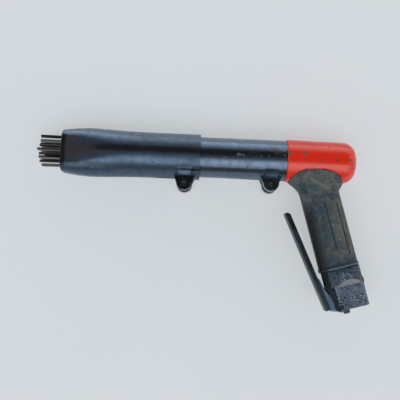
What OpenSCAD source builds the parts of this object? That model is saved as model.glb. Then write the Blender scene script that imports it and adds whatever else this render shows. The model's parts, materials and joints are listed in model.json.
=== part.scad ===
// Pistol grip needle scaler lying on its side: needles to -X, grip to -Y, resting on Z = 0.
// Sizes are in millimetres. Pieces are drawn about the barrel axis, with X = 0 at the front
// face of the head, then moved so that the origin lies under the middle of the whole part.

/* [Tubes] */
// Outside diameter of the rear tube
rear_od = 51; // [48:0.5:56]
// Wall of the rear tube
rear_wall = 3; // [2.4:0.1:3.6]
// Length of the rear tube
rear_len = 180; // [174:1:195]
// Wall of the front tube
front_wall = 2.8; // [2.2:0.1:3.6]
// Length of the front tube with its nose
front_len = 174; // [168:1:190]
// Distance from the head to the rear end of the front tube
front_setback = 108.3; // [100:0.1:118]
// Width of the clamping slots
slot_w = 6; // [4:0.5:8]
// Length of the clamping slots
slot_len = 53; // [42:1:60]

/* [Nose] */
// Straight length of the front tube behind its nose
nose_from = 70; // [60:1:80]
// Extra length of round bore ahead of the straight tube
bore_extra = 25; // [22:1:30]
// Growth of the nose over the tube at its highest place
nose_rise = 3.6; // [1:0.2:6]
// Distance from the mouth back to the highest place
nose_peak = 40; // [32:1:56]
// Room between the needles and the wide sides of the mouth
mouth_side_room = 1.4; // [1:0.1:4]
// Room between the needles and the narrow ends of the mouth
mouth_end_room = 3.7; // [1:0.1:5]
// Corner radius of the mouth
mouth_corner = 12; // [8:0.5:15]

/* [Clamps] */
// Distance from a tube wall out to its clamp screw
lug_drop = 6.5; // [5.8:0.1:9]
// Radius of the lugs round the clamp screw
lug_r = 9.6; // [9:0.1:12]
// Thickness of one clamp lug
lug_t = 11.5; // [9:0.5:13]
// Gap between the two lugs of a clamp
lug_gap = 14; // [10:0.5:15]
// Distance from the rear end of a tube to its clamp screw
lug_back = 18.5; // [16:0.5:26]
// Diameter of the clamp screws
clamp_d = 6; // [5:1:6]

/* [Needles] */
// Diameter of a needle
needle_d = 3; // [2:0.1:3.2]
// Length of a needle with its head
needle_len = 178; // [168:1:188]
// Thickness of the needle holder
holder_t = 14; // [10:0.5:18]
// Spread of the outermost needles in degrees
needle_splay = 0.45; // [0:0.05:0.6]
// Length of the return spring between its seats
spring_len = 28.7; // [24:0.1:34]
// Wire of the return spring
spring_wire = 2.4; // [1.8:0.1:2.8]
// Turns of the return spring
spring_turns = 5; // [4:0.5:6]

/* [Striking parts] */
// Bore of the cylinder
bore_d = 28; // [24:0.5:32]
// Length of the piston
piston_len = 46; // [36:1:52]
// Depth of the cylinder in the head
cyl_seat = 14; // [10:0.5:18]
// Length of the anvil bush
bush_len = 24; // [18:0.5:30]
// Diameter of the anvil stem
stem_d = 18; // [14:0.5:20]
// Length of the anvil head
anvil_len = 34; // [24:0.5:38]
// Thickness of the front valve plate
front_plate_t = 5; // [4:0.5:7]
// Thickness of the rear valve plate
rear_plate_t = 7; // [5.5:0.5:8]
// Diameter of the flutter valve disc
disc_d = 18; // [14:0.5:20]
// Lift of the flutter valve disc
disc_lift = 1.5; // [0.8:0.1:2]

/* [Head] */
// Step from the rear tube up to the head
head_step = 1.5; // [0.5:0.1:3]
// Length of the head
head_len = 87.2; // [80:0.5:100]
// Radius lost by the head from front to rear
head_draft = 1; // [0:0.1:2]
// Corner radius at the rear of the head
head_corner = 16; // [8:0.5:20]
// Diameter of the air chamber in the head
chamber_d = 34; // [28:0.5:38]

/* [Handle] */
// Slope of the handle from square to the barrel, in degrees
rake = 15.9; // [8:0.1:20]
// Distance behind the front of the head where the handle axis meets the barrel axis
handle_x = 32; // [28:0.2:36]
// Length of the handle along its axis from the barrel axis
handle_len = 188; // [180:1:205]
// Length of the bare block at the foot of the handle
block_len = 49; // [46:0.5:60]
// Reach of the grip in front of the handle axis
grip_front = 24.2; // [22:0.2:28]
// Reach of the grip behind the handle axis
grip_back = 24.8; // [22:0.2:28]
// Half thickness of the grip
grip_half = 19; // [16.5:0.5:22]
// Radius of the cast core inside the grip
core_r = 13; // [11:0.5:14]
// Radius of the round block
block_r = 20.5; // [19:0.5:23]
// Width across the flats of the block
flats_w = 27.6; // [25:0.2:32]
// Height of the flats above the foot of the block
flats_up = 28.5; // [22:0.5:34]
// Diameter of the inlet bore
inlet_d = 15; // [11.4:0.1:15]
// Depth of the inlet bore
inlet_depth = 14; // [10:0.5:15]
// Diameter of the air passage up the handle
passage_d = 8; // [6:0.5:9]

/* [Lever] */
// Reach of the lever above its pivot
lever_reach = 131.5; // [110:0.5:136]
// Width of the lever
lever_w = 18; // [15:0.5:22]
// Sheet of the lever
lever_t = 2; // [1.5:0.1:2.5]
// Depth of the lever channel
lever_depth = 6; // [4:0.2:7]
// Angle of the open lever to the handle, in degrees
lever_open = 8.6; // [7.5:0.1:10]
// Distance from the pivot to the outside of the lever
lever_stand = 18.3; // [17.4:0.1:20]
// Height of the pivot above the foot of the block
pivot_up = 4.6; // [4:0.1:7]
// Distance of the pivot in front of the handle axis
pivot_front = 11.1; // [10.6:0.1:12]
// Diameter of the pivot pin
pin_d = 5; // [4:0.1:5]
// Thickness of the lever tail
tail_t = 10.4; // [8:0.2:11]

/* [Throttle] */
// Height of the throttle valve above the foot of the block
valve_up = 30.4; // [29:0.2:34]
// Diameter of the throttle stem
valve_stem_d = 4.8; // [4:0.1:5]
// Diameter of the bore behind the throttle valve
valve_bore_d = 16; // [14:0.5:17]
// Wire of the throttle spring
throttle_wire = 1; // [0.7:0.1:1.2]
// Turns of the throttle spring
throttle_turns = 4; // [3:0.5:5]

/* [Hidden] */

$fn = 72;
// Overlap used where one solid is cut from or joined to another
over = 1;
// Gap between pieces that sit still against each other
fit = 0.1;
// Gap between pieces that slide or swing past each other
run = 0.3;

// Tubes along the barrel, forward is -X
rear_r = rear_od / 2;
rear_ir = rear_r - rear_wall;
front_ir = rear_r + run;
front_r = front_ir + front_wall;
rear_end_x = -run;
rear_front_x = rear_end_x - rear_len;
front_rear_x = -front_setback;
mouth_x = front_rear_x - front_len;
nose_x = front_rear_x - nose_from;
nose_len = front_len - nose_from;
bore_end_x = nose_x - bore_extra;
ring_steps = 12;
nose_r = (front_r + fit / 2) / cos(45 / ring_steps);
shoulder = nose_rise / 2 + 0.4;
lip_t = 3;

// Striking line, stacked from the lip of the rear tube back to the head
lip_seat_x = rear_front_x + lip_t;
holder_front_x = lip_seat_x + spring_len;
holder_rear_x = holder_front_x + holder_t;
anvil_front_x = holder_rear_x + run;
anvil_rear_x = anvil_front_x + anvil_len;
cyl_front_x = anvil_rear_x + run;
cyl_reach = -cyl_front_x;
cyl_r = rear_ir - fit;
bore_r = bore_d / 2;
cyl_lip_t = 2;
bush_front_x = cyl_front_x + cyl_lip_t;
bush_rear_x = bush_front_x + bush_len;
stem_r = stem_d / 2;
stem_proud = 2;
piston_rear_x = cyl_seat - 6;

// Return spring and the needles that pass through it
spring_out_r = rear_ir - run;
spring_r = spring_out_r - spring_wire / 2;
needle_room = 1.05;
needle_head_d = needle_d + 1.1;
needle_head_t = 2.5;
// Needles in the two columns beside the middle, the next two and the outer two
column_counts = [8, 5, 1];
pitch = (spring_out_r - spring_wire - needle_room - needle_d / 2) / ((column_counts[0] - 1) / 2 + 0.04);
column_z = [pitch / 2, pitch * 1.42, pitch * 2.33];
needle_run = needle_len - (holder_rear_x - mouth_x);
splay_reach = (holder_rear_x - mouth_x) * tan(needle_splay);
mouth_w = 2 * (column_z[2] + splay_reach * column_z[2] / column_z[1] + needle_d / 2 + mouth_side_room + front_wall);
mouth_h = 2 * (pitch * (column_counts[0] - 1) / 2 + splay_reach + needle_d / 2 + mouth_end_room + front_wall);

// Clamps
lug_z = lug_gap / 2 + lug_t;
clamp_head_d = clamp_d / 0.6;
clamp_head_t = clamp_d;
clamp_socket = clamp_d * 5 / 6;
clamp_nut_af = clamp_d / 0.6;
clamp_nut_t = clamp_d * 5 / 6;
clamp_sink = 0.5;

// Head and the boss that takes the handle
head_r = rear_r + head_step;
plates_t = front_plate_t + rear_plate_t;
chamber_from = cyl_seat + plates_t;
chamber_to = head_len - 22;
boss_r = 18;
boss_end = head_r + 9;
spigot_r = 11;
spigot_top = boss_end - 13;

// Handle, measured along its own axis (s) and square to it (n, rear positive)
block_top = handle_len - block_len;
sleeve_end = block_top - run;
core_half = 5;
block_n = grip_back + 0.9 - block_r;
nib_r = 9;
nib_n = -(grip_front - 0.2) + nib_r;
inlet_n = block_n + 1.8;
strainer_len = 6;
valve_s = handle_len - valve_up;
pivot_s = handle_len - pivot_up;
pivot_n = -pivot_front;
eye_r = pin_d / 2 + 3.5;
lobe_r = pin_d / 2 + 4;
slot_z = tail_t / 2 + run;
flat_z = flats_w / 2;

// Throttle valve along n
seat_n = 2;
seat_r = valve_bore_d / 2 - 2.5;
poppet_t = 3.6;
poppet_r = valve_bore_d / 2 - 0.8;
plug_n = 16;
plug_out = grip_back + 0.2;
seal_n = -8;
slot_floor = -(grip_front - 4.6);
edge_stand = 9.2;
push_n = pivot_n - edge_stand / cos(lever_open) - (pivot_s - valve_s) * tan(lever_open);
stem_end_n = push_n + run;
throttle_spring_r = poppet_r - 1.6;

// Lever
lever_foot = 1.5;
pin_sink = 2.2;
lever_lock_z = (slot_z + flat_z) / 2;
lock_n = pivot_n + pin_d / 2 + 3.1;
lock_d = 4;
lock_len = 8;
lock_washer_t = 1;
lock_head_t = 3.4;

// Extents that set the origin
tip_x = holder_rear_x - needle_len;
foot_x = handle_x + handle_len * sin(rake) + (grip_back + 0.2) * cos(rake);
low_y = -(handle_len + lock_washer_t + lock_head_t) * cos(rake) + (lock_n - lock_d) * sin(rake);
high_y = nose_r + nose_rise / 2;
mid_x = (tip_x + foot_x) / 2;
mid_y = (low_y + high_y) / 2;
rest_z = front_r + fit / 2;

// Colours
paint_red = [0.78, 0.13, 0.08];
tube_blue = [0.27, 0.31, 0.36];
steel = [0.62, 0.63, 0.65];
dark_steel = [0.33, 0.34, 0.36];
bronze = [0.66, 0.50, 0.27];
rubber = [0.13, 0.13, 0.14];
cast = [0.24, 0.27, 0.31];
black = [0.16, 0.16, 0.17];

// Placing helpers
module placed() {
    translate([-mid_x, -mid_y, rest_z]) children();
}

// Stands a shape drawn along +Z on the barrel axis, pointing to the rear from x
module on_barrel(x = 0) {
    translate([x, 0, 0]) rotate([0, 90, 0]) children();
}

// Handle frame: X is n, Y is the tool's Z and Z runs down the handle
module in_handle() {
    translate([handle_x, 0, 0]) rotate([90, 0, rake]) children();
}

// Extrudes an outline drawn in handle n and s to a thickness across the tool
module across(t) {
    rotate([90, 0, 0]) linear_extrude(t, center = true) children();
}

// Stands a shape drawn along +Z on the throttle axis, pointing to the rear from n
module on_throttle(n = 0) {
    translate([n, 0, valve_s]) rotate([0, 90, 0]) children();
}

// Lever frame at rest, with the pivot at its origin and the tip at -Z
module in_lever() {
    in_handle() translate([pivot_n, 0, pivot_s]) rotate([0, lever_open, 0]) children();
}

module ring(r_out, r_in, h) {
    difference() {
        cylinder(r = r_out, h = h);
        translate([0, 0, -over]) cylinder(r = r_in, h = h + 2 * over);
    }
}

module o_ring(r_mid, r_cord) {
    rotate_extrude() translate([r_mid, 0]) circle(r = r_cord, $fn = 24);
}

module hex(af, h) {
    cylinder(d = af / cos(30), h = h, $fn = 6);
}

function ease(t) = let (c = max(0, min(1, t))) c * c * (3 - 2 * c);
function mix(a, b, t) = a + (b - a) * t;

// Skins rings of equal point counts, listed along +Z and each counter-clockwise from +Z
module skin(rings) {
    n = len(rings[0]);
    m = len(rings);
    points = [for (r = rings) for (p = r) p];
    sides = [for (j = [0 : m - 2]) for (i = [0 : n - 1]) let (k = (i + 1) % n)
        each [[j * n + i, (j + 1) * n + i, (j + 1) * n + k], [j * n + i, (j + 1) * n + k, j * n + k]]];
    caps = [[for (i = [0 : n - 1]) i], [for (i = [n - 1 : -1 : 0]) (m - 1) * n + i]];
    polyhedron(points, concat(sides, caps), convexity = 6);
}

// Rounded rectangle ring of half sizes a and b, with corner steps that never double a point
function round_ring(a, b, r, z, steps = ring_steps) = [for (c = [0 : 3]) for (i = [0 : steps - 1])
    let (
        t = 90 * (c + (i + 0.5) / steps),
        sx = (c == 0 || c == 3) ? 1 : -1,
        sy = c < 2 ? 1 : -1
    ) [sx * (a - r) + r * cos(t), sy * (b - r) + r * sin(t), z]];

// Egg shaped ring reaching front and back by different amounts
function egg_ring(front, back, half, s, power = 2.3, steps = 44) = [for (i = [0 : steps - 1])
    let (
        t = 360 * (i + 0.5) / steps,
        cx = cos(t),
        cy = sin(t),
        reach = cx < 0 ? front : back
    ) [sign(cx) * reach * pow(abs(cx), 2 / power), sign(cy) * half * pow(abs(cy), 2 / power), s]];

// Middle line of a coil spring standing on Z
function coil_path(r, z0, z1, turns, per_turn) = [for (i = [0 : turns * per_turn])
    let (t = i / (turns * per_turn), a = 360 * turns * t) [r * cos(a), r * sin(a), mix(z0, z1, t)]];
function coil_rings(r, wire, z0, z1, turns, per_turn = 12, sides = 6) =
    [for (p = coil_path(r, z0, z1, turns, per_turn)) [for (k = [0 : sides - 1])
        let (a = -360 * k / sides, q = r + wire / 2 * cos(a)) [p[0] / r * q, p[1] / r * q, p[2] + wire / 2 * sin(a)]]];
function coil_gap(path, wire, per_turn) = min([for (i = [0 : len(path) - 1])
    for (j = [i + floor(per_turn / 2) : 1 : len(path) - 1]) norm(path[i] - path[j])]) - wire;

// Front tube with its flattened nose, which starts a hair outside the round tube
function nose_ring(d, inset) = let (
        fall_from = nose_len - nose_peak,
        up = nose_r + nose_rise / 2,
        tall = d < fall_from ? mix(nose_r, up, ease(d / fall_from * 0.95))
            : mix(up, mouth_h / 2, pow((d - fall_from) / nose_peak, 1.7)),
        flat = ease((d - bore_extra) / (nose_len - bore_extra) * 0.86),
        wide = mix(nose_r, mouth_w / 2, flat / ease(0.86)),
        corner = mix(nose_r, mouth_corner, flat / ease(0.86))
    ) [wide - inset, max(tall, wide) - inset, min(corner, wide) - inset];

// Wall of the nose, thicker at the shoulder that ends the round bore
function nose_wall(d) = front_wall + mix(shoulder, 2 * fit, ease((d - bore_extra) / 22));

module nose_solid() {
    lip = 2.4;
    steps = 10;
    stations = [for (i = [0 : steps]) (nose_len - lip) * i / steps];
    rings = [for (d = stations) let (h = nose_ring(d, 0)) round_ring(h[0], h[1], h[2], d)];
    // The lip rolls in over its last few millimetres
    rolled = [for (a = [30 : 30 : 90]) let (
            h = nose_ring(nose_len - lip, (1 - cos(a)) * lip * 0.85)
        ) round_ring(h[0], h[1], h[2], nose_len - lip + lip * sin(a))];
    translate([nose_x, 0, 0]) rotate([0, -90, 0]) skin(concat(rings, rolled));
}

module nose_cavity() {
    from = bore_extra - over;
    steps = 7;
    stations = concat([for (i = [0 : steps]) mix(from, nose_len, i / steps)], [nose_len + over]);
    rings = [for (d = stations) let (h = nose_ring(min(d, nose_len), nose_wall(d))) round_ring(h[0], h[1], h[2], d)];
    translate([nose_x, 0, 0]) rotate([0, -90, 0]) skin(rings);
}

// Two lugs below a tube, as one block that the slot then parts
module lugs(x, tube_r) {
    axis_y = -(tube_r + lug_drop);
    root_y = -(tube_r - rear_wall);
    neck = lug_r * 0.78;
    flare = lug_r * 1.4;
    linear_extrude(2 * lug_z, center = true) union() {
        translate([x, axis_y]) circle(r = lug_r);
        translate([x - neck, axis_y]) square([2 * neck, -axis_y]);
    }
    // Flared root between the lugs and the tube
    linear_extrude(lug_gap + lug_t, center = true) polygon([
        [x - lug_r, axis_y], [x + lug_r, axis_y], [x + flare, root_y], [x - flare, root_y]
    ]);
    lug_ramp(x, tube_r, axis_y + lug_r * 0.93);
}

// Sloping root on the outer faces of the lugs, from the tube wall down to the flat round the screw
module lug_ramp(x, tube_r, low_y) {
    top_y = -tube_r * 0.57;
    top_z = tube_r * 0.822 + 0.3;
    wide = lug_r * 0.93;
    narrow = lug_r * 0.74;
    intersection() {
        translate([x - lug_r, 0, 0]) rotate([90, 0, 90]) linear_extrude(2 * lug_r) polygon([
            [top_y, -top_z], [top_y, top_z], [low_y, lug_z], [low_y, -lug_z]
        ]);
        linear_extrude(2 * tube_r, center = true) polygon([
            [x - wide, top_y], [x + wide, top_y], [x + narrow, low_y], [x - narrow, low_y]
        ]);
    }
}

// Slot in the tube wall, and the wider gap between the lugs below it
module clamp_slot(rear_x, tube_r) {
    deep = tube_r + lug_drop + lug_r + over;
    translate([rear_x - slot_len, -deep, -slot_w / 2]) cube([slot_len + over, deep, slot_w]);
    translate([rear_x - slot_len, -deep, 0]) rotate([-90, 0, 0]) cylinder(d = slot_w, h = deep);
    translate([rear_x - lug_back - 2 * lug_r, -deep, -lug_gap / 2]) cube([4 * lug_r, deep - tube_r, lug_gap]);
}

module clamp_holes(rear_x, tube_r) {
    translate([rear_x - lug_back, -(tube_r + lug_drop), 0]) {
        cylinder(d = clamp_d + 4 * fit, h = 2 * lug_z + 2 * over, center = true);
        translate([0, 0, lug_z - clamp_sink - clamp_head_t]) cylinder(d = clamp_head_d + 6 * fit, h = clamp_head_t + over);
        translate([0, 0, -lug_z - over]) hex(clamp_nut_af + 4 * fit, clamp_nut_t + clamp_sink + over);
    }
}

module front_tube() {
    color(tube_blue) placed() difference() {
        union() {
            on_barrel(nose_x - over) cylinder(r = front_r, h = nose_from + over);
            nose_solid();
            lugs(front_rear_x - lug_back, front_r);
        }
        on_barrel(bore_end_x) cylinder(r = front_ir, h = nose_from + bore_extra + over);
        nose_cavity();
        clamp_slot(front_rear_x, front_r);
        clamp_holes(front_rear_x, front_r);
    }
}

// Tube with an inward lip at its front that the return spring pushes on
module rear_tube() {
    lip_r = spring_out_r - spring_wire + 0.2;
    color(tube_blue) placed() difference() {
        union() {
            on_barrel(rear_front_x) cylinder(r = rear_r, h = rear_len);
            lugs(rear_end_x - lug_back, rear_r);
        }
        on_barrel(lip_seat_x) cylinder(r = rear_ir, h = rear_len);
        on_barrel(rear_front_x - over) cylinder(r = lip_r, h = lip_t + 2 * over);
        clamp_slot(rear_end_x, rear_r);
        clamp_holes(rear_end_x, rear_r);
    }
}

// Socket head screw through the lugs, head towards +Z
module clamp_screw(rear_x, tube_r) {
    seat_z = lug_z - clamp_sink - clamp_head_t;
    end_z = -lug_z + 0.4;
    translate([rear_x - lug_back, -(tube_r + lug_drop), 0]) difference() {
        union() {
            translate([0, 0, end_z]) cylinder(d = clamp_d, h = seat_z - end_z + over);
            translate([0, 0, seat_z]) rotate_extrude() polygon([
                [0, 0], [clamp_head_d / 2, 0], [clamp_head_d / 2, clamp_head_t - 0.5],
                [clamp_head_d / 2 - 0.5, clamp_head_t], [0, clamp_head_t]
            ]);
        }
        translate([0, 0, seat_z + clamp_head_t / 2]) hex(clamp_socket, clamp_head_t);
    }
}

module clamp_nut(rear_x, tube_r) {
    translate([rear_x - lug_back, -(tube_r + lug_drop), -lug_z + clamp_sink]) difference() {
        hex(clamp_nut_af, clamp_nut_t);
        translate([0, 0, -over]) cylinder(d = clamp_d + 2 * fit, h = clamp_nut_t + 2 * over);
    }
}

module front_clamp_screw() {
    color(black) placed() clamp_screw(front_rear_x, front_r);
}

module front_clamp_nut() {
    color(black) placed() clamp_nut(front_rear_x, front_r);
}

module rear_clamp_screw() {
    color(black) placed() clamp_screw(rear_end_x, rear_r);
}

module rear_clamp_nut() {
    color(black) placed() clamp_nut(rear_end_x, rear_r);
}

// Needle places as [y, z], column by column
needle_spots = [for (c = [0 : 2]) for (side = [-1, 1]) for (i = [0 : column_counts[c] - 1])
    [(i - (column_counts[c] - 1) / 2) * pitch, side * column_z[c]]];
// Small steady scatter in -1 to 1, the same on every build
function scatter(i, k) = sin(i * 137.5 + k * 71.3) * cos(i * 61.7 + k * 23.1);

module needle(i) {
    spot = needle_spots[i];
    spread = needle_splay / (pitch * (column_counts[0] - 1) / 2);
    shank = needle_len - abs(scatter(i, 1)) * 5;
    translate([holder_rear_x, spot[0], spot[1]])
        rotate([0, -90 + spot[1] * spread + scatter(i, 3) * 0.08, -spot[0] * spread + scatter(i, 2) * 0.1]) {
            cylinder(d = needle_head_d, h = needle_head_t, $fn = 24);
            cylinder(d = needle_d, h = shank, $fn = 24);
        }
}

module needles() {
    color(dark_steel) placed() for (i = [0 : len(needle_spots) - 1]) needle(i);
}

// Disc that carries the needles by their heads
module needle_holder() {
    hole_d = needle_d + 0.6;
    head_hole_d = needle_head_d + 0.3;
    color(steel) placed() difference() {
        on_barrel(holder_front_x) cylinder(r = rear_ir - run, h = holder_t);
        for (s = needle_spots) translate([0, s[0], s[1]]) {
            on_barrel(holder_front_x - over) cylinder(d = hole_d, h = holder_t + 2 * over);
            on_barrel(holder_rear_x - needle_head_t - fit) cylinder(d = head_hole_d, h = needle_head_t + over);
        }
    }
}

module return_spring() {
    z0 = lip_seat_x + spring_wire / 2 + fit;
    z1 = holder_front_x - spring_wire / 2 - fit;
    echo(return_spring_gap = coil_gap(coil_path(spring_r, z0, z1, spring_turns, 12), spring_wire, 12));
    color(steel) placed() on_barrel() skin(coil_rings(spring_r, spring_wire, z0, z1, spring_turns));
}

// Striker head with a stem that the piston hits
module anvil() {
    edge = 1.5;
    head_out = rear_ir - run;
    stem_len = bush_rear_x + stem_proud - anvil_rear_x;
    color(steel) placed() on_barrel(anvil_front_x) rotate_extrude() polygon([
        [0, 0], [head_out - edge, 0], [head_out, edge], [head_out, anvil_len - 3 * edge],
        [head_out - 3 * edge, anvil_len], [stem_r, anvil_len], [stem_r, anvil_len + stem_len - edge],
        [stem_r - edge, anvil_len + stem_len], [0, anvil_len + stem_len]
    ]);
}

module anvil_bush() {
    color(bronze) placed() on_barrel(bush_front_x) ring(bore_r - fit / 2, stem_r + run / 2, bush_len);
}

// Groove in the cylinder for its seal in the head
seal_cord = 1.05;
seal_mid_r = cyl_r - seal_cord - 0.05;
cyl_seal_x = cyl_seat - 5;

module cylinder_barrel() {
    groove_w = 2.6;
    port_d = 5;
    port_x = bush_rear_x + 14;
    // Waist that leaves the exhaust a way forward inside the tube
    land = 12;
    waist_r = bore_r + 4;
    color(steel) placed() difference() {
        on_barrel(cyl_front_x) cylinder(r = cyl_r, h = cyl_reach + cyl_seat);
        on_barrel(bush_front_x) cylinder(r = bore_r, h = cyl_reach + cyl_seat);
        on_barrel(cyl_front_x - over) cylinder(r = stem_r + 1, h = cyl_lip_t + 2 * over);
        on_barrel(cyl_seal_x - groove_w / 2) ring(cyl_r + over, seal_mid_r - seal_cord - 0.05, groove_w);
        on_barrel(cyl_front_x + land) ring(cyl_r + over, waist_r, cyl_reach - 2 * land);
        for (a = [45 : 90 : 315]) translate([port_x, 0, 0]) rotate([a, 0, 0]) cylinder(d = port_d, h = cyl_r + over);
    }
}

module cylinder_seal() {
    color(rubber) placed() on_barrel(cyl_seal_x) o_ring(seal_mid_r, seal_cord);
}

module piston() {
    edge = 1.2;
    r = bore_r - run / 2;
    color(steel) placed() on_barrel(piston_rear_x - piston_len) rotate_extrude() polygon([
        [0, 0], [r - 2 * edge, 0], [r, 2 * edge], [r, piston_len - edge], [r - edge, piston_len], [0, piston_len]
    ]);
}

// Ported plates that trap the flutter valve behind the cylinder
port_ring_r = disc_d / 2 - 3;
module plate_ports(d, h) {
    translate([0, 0, -over]) {
        cylinder(d = d * 2, h = h + 2 * over);
        for (a = [0 : 60 : 300]) rotate(a) translate([port_ring_r, 0, 0]) cylinder(d = d, h = h + 2 * over);
    }
}

module valve_front_plate() {
    color(steel) placed() on_barrel(cyl_seat) difference() {
        cylinder(r = cyl_r, h = front_plate_t);
        plate_ports(2.6, front_plate_t);
    }
}

disc_t = 1.6;
module valve_disc() {
    color(dark_steel) placed() on_barrel(cyl_seat + front_plate_t + run) cylinder(d = disc_d, h = disc_t);
}

module valve_rear_plate() {
    color(steel) placed() on_barrel(cyl_seat + front_plate_t) difference() {
        cylinder(r = cyl_r, h = rear_plate_t);
        translate([0, 0, -over]) cylinder(r = disc_d / 2 + run, h = over + 2 * run + disc_t + disc_lift);
        plate_ports(2.6, rear_plate_t);
    }
}

// Outline of the head turned about the barrel, grown by a clearance
module head_outline(grow = 0) {
    edge = 0.8;
    rear_face_r = head_r - head_draft - head_corner;
    union() {
        polygon([
            [0, -grow], [head_r - edge + grow, -grow], [head_r + grow, edge - grow],
            [head_r - head_draft + grow, head_len - head_corner], [rear_face_r, head_len - head_corner],
            [rear_face_r, head_len + grow], [0, head_len + grow]
        ]);
        intersection() {
            translate([rear_face_r, head_len - head_corner]) circle(r = head_corner + grow);
            translate([rear_face_r, head_len - head_corner]) square(head_corner + grow);
        }
    }
}

module head() {
    color(paint_red) placed() difference() {
        union() {
            on_barrel() rotate_extrude() head_outline();
            in_handle() translate([0, 0, chamber_d / 2]) cylinder(r = boss_r, h = boss_end - chamber_d / 2);
        }
        on_barrel(-over) cylinder(r = cyl_r + fit, h = chamber_from + over);
        on_barrel(chamber_from - over) cylinder(d = chamber_d, h = chamber_to - chamber_from + over);
        in_handle() {
            translate([0, 0, spigot_top - run]) cylinder(r = spigot_r + fit, h = boss_end);
            translate([0, 0, chamber_d / 4]) cylinder(d = passage_d + 2, h = boss_end);
        }
    }
}

// Outline of the cast core, and of the block at the foot of the handle
module core_outline(grow = 0) {
    union() {
        for (n = [-core_half, core_half]) translate([n, 0]) circle(r = core_r + grow);
        square([2 * core_half, 2 * (core_r + grow)], center = true);
    }
}

module block_outline() {
    lean = asin((block_r - nib_r) / (block_n - nib_n));
    union() {
        translate([block_n, 0]) circle(r = block_r);
        translate([nib_n, 0]) circle(r = nib_r);
        polygon([for (k = [[block_n, block_r, 1], [nib_n, nib_r, 1], [nib_n, nib_r, -1], [block_n, block_r, -1]])
            [k[0] - k[1] * sin(lean), k[2] * k[1] * cos(lean)]]);
    }
}

// Room for the lever tail at rest and pressed
module tail_slot() {
    clear = eye_r + 1;
    across(2 * slot_z) union() {
        polygon([
            [-3 * grip_front, block_top - 5], [slot_floor, block_top - 5], [slot_floor, valve_s + 4],
            [pivot_n + clear, pivot_s - clear], [pivot_n + clear, handle_len + 10], [-3 * grip_front, handle_len + 10]
        ]);
    }
}

// Side flats with a sloped run-out, and the shallow flat at the back
module block_flats() {
    from = handle_len - flats_up;
    for (side = [-1, 1]) rotate([0, 0, side > 0 ? 0 : 180]) {
        translate([-2 * block_r, flat_z, from]) cube([4 * block_r, block_r, flats_up + 10]);
        translate([-2 * block_r, flat_z, from]) rotate([-45, 0, 0]) cube([4 * block_r, block_r, block_r]);
    }
    translate([plug_out, -block_r, valve_s - valve_bore_d / 2 - 1]) cube([block_r, 2 * block_r, handle_len]);
}

// Front of the block leans back towards the pivot
module block_front_cut() {
    from = valve_s - 8;
    across(4 * block_r) polygon([
        [-grip_front - 0.5, from], [pivot_n - lobe_r + 3.4, handle_len], [pivot_n - lobe_r + 5.4, handle_len + over],
        [-3 * grip_front, handle_len + over], [-3 * grip_front, from]
    ]);
}

module pivot_lobes() {
    translate([pivot_n, 0, pivot_s]) rotate([90, 0, 0]) cylinder(r = lobe_r, h = 2 * flat_z, center = true);
}

module handle_bores() {
    // Pivot pin and its lock screw
    translate([pivot_n, 0, pivot_s]) rotate([90, 0, 0]) cylinder(d = pin_d + fit / 2, h = 4 * block_r, center = true);
    translate([lock_n, lever_lock_z, handle_len - lock_len - over]) cylinder(d = lock_d + fit, h = lock_len + 2 * over);
    translate([lock_n, lever_lock_z, handle_len]) cylinder(r = lock_d + run, h = lobe_r);
    // Air inlet, strainer seat and the way up to the throttle
    translate([inlet_n, 0, handle_len - inlet_depth]) cylinder(d = inlet_d, h = inlet_depth + over);
    translate([inlet_n, 0, handle_len - inlet_depth - strainer_len]) cylinder(d = inlet_d - 2, h = strainer_len + over);
    translate([inlet_n, 0, valve_s]) cylinder(d = passage_d, h = valve_up - inlet_depth);
    // Throttle stem, seal, seat and the bore that the plug closes
    on_throttle(-2 * grip_front) cylinder(d = valve_stem_d + 2 * fit, h = 2 * grip_front);
    on_throttle(seal_n) cylinder(d = valve_stem_d + 3.6, h = seat_n - seal_n);
    on_throttle(seal_n + 2) cylinder(r = seat_r, h = seat_n - seal_n);
    on_throttle(seat_n) cylinder(d = valve_bore_d, h = 2 * grip_back);
    // Passage up to the head
    translate([passage_n, 0, spigot_top - over]) cylinder(d = passage_d, h = valve_s - spigot_top);
}

passage_n = seat_n - passage_d / 2 - 1;
spigot_seal_s = spigot_top + 4;
spigot_cord = 0.75;

module handle() {
    groove_w = 2;
    color(cast) placed() in_handle() difference() {
        union() {
            translate([0, 0, spigot_top]) cylinder(r = spigot_r, h = boss_end - spigot_top + over);
            translate([0, 0, boss_end]) linear_extrude(block_top - boss_end + over) core_outline();
            difference() {
                translate([0, 0, block_top]) linear_extrude(block_len) block_outline();
                block_flats();
                block_front_cut();
            }
            pivot_lobes();
        }
        tail_slot();
        handle_bores();
        translate([0, 0, spigot_seal_s - groove_w / 2])
            ring(spigot_r + over, spigot_r - 2 * spigot_cord - 0.1, groove_w);
    }
}

module spigot_seal() {
    color(rubber) placed() in_handle() translate([0, 0, spigot_seal_s])
        o_ring(spigot_r - spigot_cord - 0.05, spigot_cord);
}

// Moulded sleeve: flared saddle under the head, egg shaped grip, bead at its foot
saddle_x = handle_x + 5.2;
saddle_half_len = 34.8;
saddle_rise = 14.9;
saddle_y = -(head_r + 0.6);
bulge_x = handle_x + 15.8;
bulge_y = -(head_r - 9);
bulge_r = head_r - 0.6;
flare_end = head_r + 10;
flare_len = 20;
flare_out = 12.3;
bead_out = 1.3;
bead_half = 2.4;

function bead(s) = let (q = (s - (sleeve_end - bead_half)) / bead_half) bead_out * max(0, 1 - q * q);
function sleeve_front(s) = grip_front + flare_out * pow(max(0, min(1, (flare_end - s) / flare_len)), 1.6) + bead(s);
function sleeve_back(s) = grip_back + bead(s);
function sleeve_half(s) = mix(head_r - 1.5, grip_half, ease((s - head_r + 9) / 30)) + bead(s);

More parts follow.
